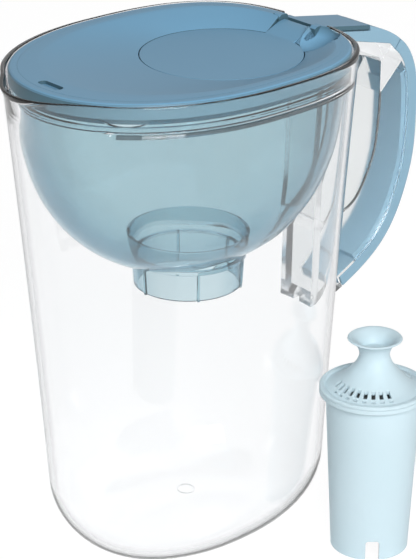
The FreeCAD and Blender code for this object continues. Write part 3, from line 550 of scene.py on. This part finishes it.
def cup_profile():
    """Radius and height of each ring of the filter cup, down its outside and up its inside."""
    bore_edge = CUP_STEP_RADIUS - CUP_WALL + CUP_STEP_IN
    top_inner = CUP_TOP_RADIUS - CUP_WALL
    return ((CUP_STEP_RADIUS, CUP_STEP + CUP_SMALL_ROUND), (CUP_STEP_RADIUS - CUP_SMALL_ROUND, CUP_STEP),
            (CUP_STEP_RADIUS - CUP_STEP_IN, CUP_STEP), (CUP_LOW_RADIUS, CUP_LOW + CUP_ROUND),
            (CUP_LOW_RADIUS - CUP_ROUND, CUP_LOW), (CUP_BORE + CUP_ROUND, CUP_LOW),
            (CUP_BORE, CUP_LOW + CUP_ROUND), (CUP_BORE, CUP_SEAT - CUP_SMALL_ROUND),
            (CUP_BORE + CUP_SMALL_ROUND, CUP_SEAT), (bore_edge, CUP_SEAT),
            (bore_edge + CUP_SMALL_ROUND, CUP_SEAT + CUP_SMALL_ROUND), (top_inner, CUP_TOP - CUP_ROUND),
            (top_inner + CUP_ROUND, CUP_TOP), (CUP_TOP_RADIUS - CUP_ROUND, CUP_TOP),
            (CUP_TOP_RADIUS, CUP_TOP - CUP_ROUND))


def collar_heights(inset):
    """Top edge of the upright rim, with the two half-moon notches and the gap for the hinge."""
    ring = jug_ring(FLANGE_LOW, inset, 0.0)
    top = np.full(COLUMNS, COLLAR_TOP)
    bow = (0.25 * MOON_WIDTH ** 2 + MOON_DEPTH ** 2) / (2.0 * MOON_DEPTH)
    for side in (1.0, -1.0):
        turn = math.radians(side * MOON_ANGLE)
        across = -ring[:, 0] * math.sin(turn) + ring[:, 1] * math.cos(turn)
        ahead = ring[:, 0] * math.cos(turn) + ring[:, 1] * math.sin(turn)
        near = (ahead > 0) & (np.abs(across) < 0.5 * MOON_WIDTH)
        dip = np.sqrt(np.maximum(bow ** 2 - across ** 2, 0.0)) - (bow - MOON_DEPTH)
        top = np.where(near, COLLAR_TOP - dip, top)
    in_gap = (ring[:, 0] > 0) & (np.abs(ring[:, 1]) < HINGE_GAP_HALF)
    return np.where(in_gap, FLANGE_TOP + HINGE_GAP_RISE, top)


def reservoir():
    """Tinted bowl with the filter cup in its floor, a flange and an upright rim."""
    outer = bowl_rings(0.0, BOWL_STEPS)
    inner = bowl_rings(BOWL_WALL, BOWL_STEPS)
    angles = np.arctan2(outer[-1][:, 1], outer[-1][:, 0] - CUP_X)
    rings = list(outer)
    for radius, height in cup_profile():
        rings.append(cup_ring(angles, radius, height))
    rings += inner[::-1]
    rim = FLANGE_ROUND
    throat = BOWL_EDGE + BOWL_WALL
    for inset, height in ((throat, FLANGE_TOP - rim), (throat - rim, FLANGE_TOP), (COLLAR_INNER, FLANGE_TOP)):
        rings.append(jug_ring(FLANGE_LOW, inset, height))
    collar = ((COLLAR_INNER, rim), (COLLAR_INNER - rim, 0.0), (COLLAR_EDGE + rim, 0.0), (COLLAR_EDGE, rim))
    for inset, down in collar:
        rings.append(jug_ring(FLANGE_LOW, inset, np.maximum(collar_heights(inset) - down, FLANGE_TOP)))
    flange = ((COLLAR_EDGE, FLANGE_TOP), (FLANGE_EDGE + rim, FLANGE_TOP), (FLANGE_EDGE, FLANGE_TOP - rim),
              (FLANGE_EDGE, FLANGE_LOW + rim), (FLANGE_EDGE + rim, FLANGE_LOW))
    for inset, height in flange:
        rings.append(jug_ring(FLANGE_LOW, inset, height))
    mesh = shaded(ring_mesh("reservoir_bowl", rings, loop=True), CRISP_BEND)
    return show("reservoir_bowl", mesh, "reservoir", "reservoir", RESERVOIR_TINT)


def cup_ribs():
    """Upright ribs on the lower part of the filter cup."""
    mesh = bpy.data.meshes.new("cup_ribs")
    work = bmesh.new()
    half = 0.5 * CUP_RIB_WIDTH
    narrow = CUP_RIB_TAPER * half
    section = ((-CUP_RIB_ROOT, -half), (-CUP_RIB_ROOT, half),
               (CUP_RIB_DEPTH, narrow), (CUP_RIB_DEPTH, -narrow))
    ends = ((CUP_LOW, CUP_LOW_RADIUS), (CUP_STEP - CUP_RIB_GAP, CUP_STEP_RADIUS - CUP_STEP_IN))
    for k in range(CUP_RIBS):
        turn = 2.0 * math.pi * k / CUP_RIBS
        spot = []
        for height, radius in ends:
            for out, side in section:
                along = radius + out
                spot.append(((CUP_X + along * math.cos(turn) - side * math.sin(turn)) * MM,
                             (along * math.sin(turn) + side * math.cos(turn)) * MM, height * MM))
        corners = [work.verts.new(p) for p in spot]
        for quad in ((0, 1, 2, 3), (4, 5, 6, 7), (0, 1, 5, 4), (1, 2, 6, 5), (2, 3, 7, 6), (3, 0, 4, 7)):
            work.faces.new([corners[i] for i in quad])
    bmesh.ops.recalc_face_normals(work, faces=work.faces)
    work.to_mesh(mesh)
    work.free()
    return show("cup_ribs", mesh, "reservoir", None, RESERVOIR_TINT)


# Lid

def lid_ring(inset, height):
    """Ring inside the lid's outer edge."""
    return jug_ring(SKIRT_LOW, WALL + LID_GAP + inset, height)


def seat_ring(radius, height):
    """Ring about the middle of the round flap."""
    return polar(np.full(COLUMNS, radius), height, FLAP_X)


def dish_rings():
    """Rings of the lid's upper face, from the border inwards."""
    outer = lid_ring(LID_BORDER, 0.0)
    inner = seat_ring(DISH_RADIUS, 0.0)
    rings = []
    border = [0.0, DISH_FROM - DISH_CREASE, DISH_FROM + DISH_CREASE]
    for share in np.concatenate([border, np.linspace(DISH_FROM, 1.0, DISH_STEPS)[1:]]):
        ring = mix(outer, inner, share)
        ring[:, 2] = LID_TOP + SKIN - DISH_DEPTH * max(share - DISH_FROM, 0.0) / (1.0 - DISH_FROM)
        rings.append(ring)
    return rings


def bay_tools():
    """Room for the flap's ramp and for the tongue at the back of the lid."""
    return (block((FLAP_X, -RAMP_ROOM, LID_ROOM_LOW), (LUG_END, RAMP_ROOM, LID_ROOM_TOP)),
            block((LUG_START, -LUG_HALF, LID_ROOM_LOW), (LUG_END, LUG_HALF, LID_ROOM_TOP)))


def lid_dish():
    """Flat border of the lid and the dish that falls from it to the round flap."""
    top = dish_rings()
    under = []
    start, end = top[0][0, :2], top[-1][0, :2]
    for ring in top:
        low = ring.copy()
        share = np.linalg.norm(ring[0, :2] - start) / np.linalg.norm(end - start)
        low[:, 2] = LID_TOP - DISH_DEPTH * share - DISH_SKIN
        under.append(low)
    mesh = shaded(ring_mesh("lid_dish", top + under[::-1], loop=True), CRISP_BEND)
    piece = show("lid_dish", mesh, "lid", None, LID_BLUE)
    for tool in (ball(SCOOP, SCOOP_RADIUS), finger_slot()) + bay_tools():
        carve(piece, tool, "DIFFERENCE")
    shaded(piece.data, DISH_BEND)


def finger_slot():
    """Long rounded recess at the front of the lid."""
    end = 0.5 * (SLOT_LENGTH - SLOT_WIDTH)
    outline = []
    round_radius = 0.5 * SLOT_WIDTH
    for k in range(SLOT_POINTS):
        turn = 2.0 * math.pi * k / SLOT_POINTS
        side = end if math.sin(turn) > 0 else -end
        outline.append((SLOT_X + round_radius * math.cos(turn), side + round_radius * math.sin(turn)))
    rings = [np.array([(x, y, z) for x, y in outline]) for z in (LID_ROOM_LOW, LID_ROOM_TOP)]
    return shaded(ring_mesh("finger_slot", rings), CRISP_BEND)


def scoop():
    """Hollow for a finger tip beside the ramp of the flap."""
    mesh = ball(SCOOP, SCOOP_RADIUS + SCOOP_WALL)
    piece = show("finger_scoop", mesh, "lid", None, LID_BLUE)
    rings = [lid_ring(SCOOP_INSET, SCOOP_LOW), lid_ring(SCOOP_INSET, LID_TOP)] + dish_rings()
    rings.append(seat_ring(DISH_RADIUS, SCOOP_LOW))
    carve(piece, shaded(ring_mesh("lid_block", rings, loop=True), CRISP_BEND), "INTERSECT")
    for tool in (ball(SCOOP, SCOOP_RADIUS - SKIN),) + bay_tools():
        carve(piece, tool, "DIFFERENCE")
    shaded(piece.data, CARVED_BEND)


def hull(corners):
    """Closed convex form over points given in millimetres."""
    work = bmesh.new()
    for corner in corners:
        work.verts.new(Vector(corner) * MM)
    bmesh.ops.convex_hull(work, input=work.verts)
    mesh = bpy.data.meshes.new("hull")
    work.to_mesh(mesh)
    work.free()
    return mesh


def lug_ridge():
    """Ridge between the ramp and the scoop; it carries the lug's edge down to the flap."""
    piece = show("lug_ridge", hull(RIDGE), "lid", None, LID_BLUE)
    carve(piece, ball(SCOOP, SCOOP_RADIUS - SKIN), "DIFFERENCE")
    shaded(piece.data, CARVED_BEND)


# Filter

def crown():
    """Crown of the filter with the row of short drain slots below its long ones."""
    piece = dressed_node("filter_cap", "filter_crown", "filter", FILTER_PALE)
    work = bmesh.new()
    for group in DRAIN_GROUPS:
        for k in range(DRAINS):
            turn = math.radians(group + DRAIN_FIRST + k * DRAIN_PITCH)
            spin = Matrix.Rotation(turn, 4, "Z")
            place = Matrix.Translation(Vector((FILTER_X, FILTER_Y, DRAIN_HEIGHT)) * MM) @ spin
            place = place @ Matrix.Translation((DRAIN_RADIUS * MM, 0.0, 0.0))
            stretch = Matrix.Diagonal((*(DRAIN_SIZE * MM), 1.0))
            bmesh.ops.create_cube(work, size=1.0, matrix=place @ stretch)
    mesh = bpy.data.meshes.new("drain_cutters")
    work.to_mesh(mesh)
    work.free()
    carve(piece, mesh, "DIFFERENCE")


# Pieces of the scene

jug()
gate_mark()
reservoir()
cup_ribs()
lid_dish()
scoop()
lug_ridge()
dressed_node("lid_shell", "lid_top", "lid", LID_BLUE, LID_BEND)
dressed_node("refill_flap", "refill_door", "flap", FLAP_BLUE)
dressed_node("handle_frame", "handle_grip", "pitcher", HANDLE_CLEAR)
dressed_node("handle_strap", "handle_band", "pitcher", STRAP_BLUE)
dressed_node("handle_cap", "handle_top", "pitcher", STRAP_BLUE)
dressed_node("filter_housing", "filter_body", "filter", FILTER_PALE)
crown()
for node, material in (("flap_hinge_pin", PIN_PLASTIC), ("filter_media", MEDIA_GRAINS),
                       ("filter_screen_top", SCREEN_WEAVE), ("filter_screen_bottom", SCREEN_WEAVE)):
    frame["nodes"][node].data.materials.clear()
    frame["nodes"][node].data.materials.append(material)


# Floor, light and camera

MIRRORED_SHARE = 0.5
BACKDROP_GLOW, BACKDROP_SHARE = 1.06, 0.9
WORLD_STRENGTH = 0.26
FLOOR_REACH, FLOOR_LEVEL, FLOOR_ROUGH = 6.0, -0.0004, 0.9
FLOOR_COLOUR, WHITE = (0.95, 0.95, 0.95, 1.0), (1.0, 1.0, 1.0, 1.0)
LAMP_AIM = (0.0, 0.0, 0.15)


def background_share(nodes, links):
    """Share of the white backdrop: whole from the camera and through glass, half in a mirrored view."""
    path = nodes.new("ShaderNodeLightPath")
    first = nodes.new("ShaderNodeMath")
    second = nodes.new("ShaderNodeMath")
    first.operation = second.operation = "MAXIMUM"
    links.new(path.outputs["Is Camera Ray"], first.inputs[0])
    half = nodes.new("ShaderNodeMath")
    half.operation = "MULTIPLY"
    half.inputs[1].default_value = MIRRORED_SHARE
    links.new(path.outputs["Is Glossy Ray"], half.inputs[0])
    links.new(half.outputs[0], first.inputs[1])
    links.new(first.outputs[0], second.inputs[0])
    links.new(path.outputs["Is Transmission Ray"], second.inputs[1])
    return second.outputs[0]


def floor():
    """Pale floor that shows as the white backdrop and keeps a faint shadow."""
    material, nodes, links, shader, output = new_material("floor_white")
    shader.inputs["Base Color"].default_value = FLOOR_COLOUR
    shader.inputs["Roughness"].default_value = FLOOR_ROUGH
    glow = nodes.new("ShaderNodeEmission")
    glow.inputs["Color"].default_value = WHITE
    glow.inputs["Strength"].default_value = BACKDROP_GLOW
    share = nodes.new("ShaderNodeMath")
    share.operation = "MULTIPLY"
    share.inputs[1].default_value = BACKDROP_SHARE
    links.new(background_share(nodes, links), share.inputs[0])
    mixer = nodes.new("ShaderNodeMixShader")
    links.new(share.outputs[0], mixer.inputs["Fac"])
    links.new(shader.outputs["BSDF"], mixer.inputs[1])
    links.new(glow.outputs["Emission"], mixer.inputs[2])
    links.new(mixer.outputs["Shader"], output.inputs["Surface"])
    mesh = bpy.data.meshes.new("floor")
    sides = ((-1.0, -1.0), (1.0, -1.0), (1.0, 1.0), (-1.0, 1.0))
    corners = [(x * FLOOR_REACH, y * FLOOR_REACH, FLOOR_LEVEL) for x, y in sides]
    mesh.from_pydata(corners, [], [(0, 1, 2, 3)])
    mesh.materials.append(material)
    plane = bpy.data.objects.new("floor", mesh)
    bpy.context.scene.collection.objects.link(plane)


def world():
    """Soft even light, seen as white behind the object."""
    scene_world = bpy.data.worlds.new("studio")
    bpy.context.scene.world = scene_world
    scene_world.use_nodes = True
    nodes, links = scene_world.node_tree.nodes, scene_world.node_tree.links
    soft = nodes["Background"]
    soft.inputs["Color"].default_value = WHITE
    soft.inputs["Strength"].default_value = WORLD_STRENGTH
    white = nodes.new("ShaderNodeBackground")
    white.inputs["Color"].default_value = WHITE
    white.inputs["Strength"].default_value = 1.0
    mixer = nodes.new("ShaderNodeMixShader")
    links.new(background_share(nodes, links), mixer.inputs["Fac"])
    links.new(soft.outputs["Background"], mixer.inputs[1])
    links.new(white.outputs["Background"], mixer.inputs[2])
    links.new(mixer.outputs["Shader"], nodes["World Output"].inputs["Surface"])


def lamp(name, place, watts, width):
    """Square soft box that points at the object."""
    data = bpy.data.lights.new(name, "AREA")
    data.energy = watts
    data.size = width
    light = bpy.data.objects.new(name, data)
    light.location = place
    light.rotation_mode = "QUATERNION"
    light.rotation_quaternion = (Vector(LAMP_AIM) - Vector(place)).to_track_quat("-Z", "Y")
    bpy.context.scene.collection.objects.link(light)


# Camera solved from the photograph: angles, distance and aim in metres, focal length and centre in pixels
SENSOR_WIDTH = 36.0
AZIMUTH, ELEVATION, DISTANCE = math.radians(-40.94), math.radians(23.63), 1.23802
TARGET = Vector((0.017, 0.0, 0.130))
FOCAL_PIXELS, FRAME_LONG_SIDE = 2422.3, 559.0
CENTRE_X, CENTRE_Y = -1.61, 11.32


def camera():
    """Camera at the photograph's place."""
    data = bpy.data.cameras.new("camera")
    data.sensor_width = SENSOR_WIDTH
    data.lens = FOCAL_PIXELS * data.sensor_width / FRAME_LONG_SIDE
    data.shift_x = -CENTRE_X / FRAME_LONG_SIDE
    data.shift_y = CENTRE_Y / FRAME_LONG_SIDE
    back = Vector((math.sin(AZIMUTH) * math.cos(ELEVATION), -math.cos(AZIMUTH) * math.cos(ELEVATION),
                   math.sin(ELEVATION)))
    eye = bpy.data.objects.new("camera", data)
    eye.location = TARGET + back * DISTANCE
    eye.rotation_mode = "QUATERNION"
    eye.rotation_quaternion = (-back).to_track_quat("-Z", "Y")
    bpy.context.scene.collection.objects.link(eye)
    bpy.context.scene.camera = eye


floor()
world()
lamp("key", place=(-0.60, -1.34, 0.98), watts=25.0, width=0.8)
lamp("fill", place=(1.2, -0.7, 0.6), watts=1.4, width=0.9)
camera()
bpy.context.scene.view_settings.view_transform = "Standard"
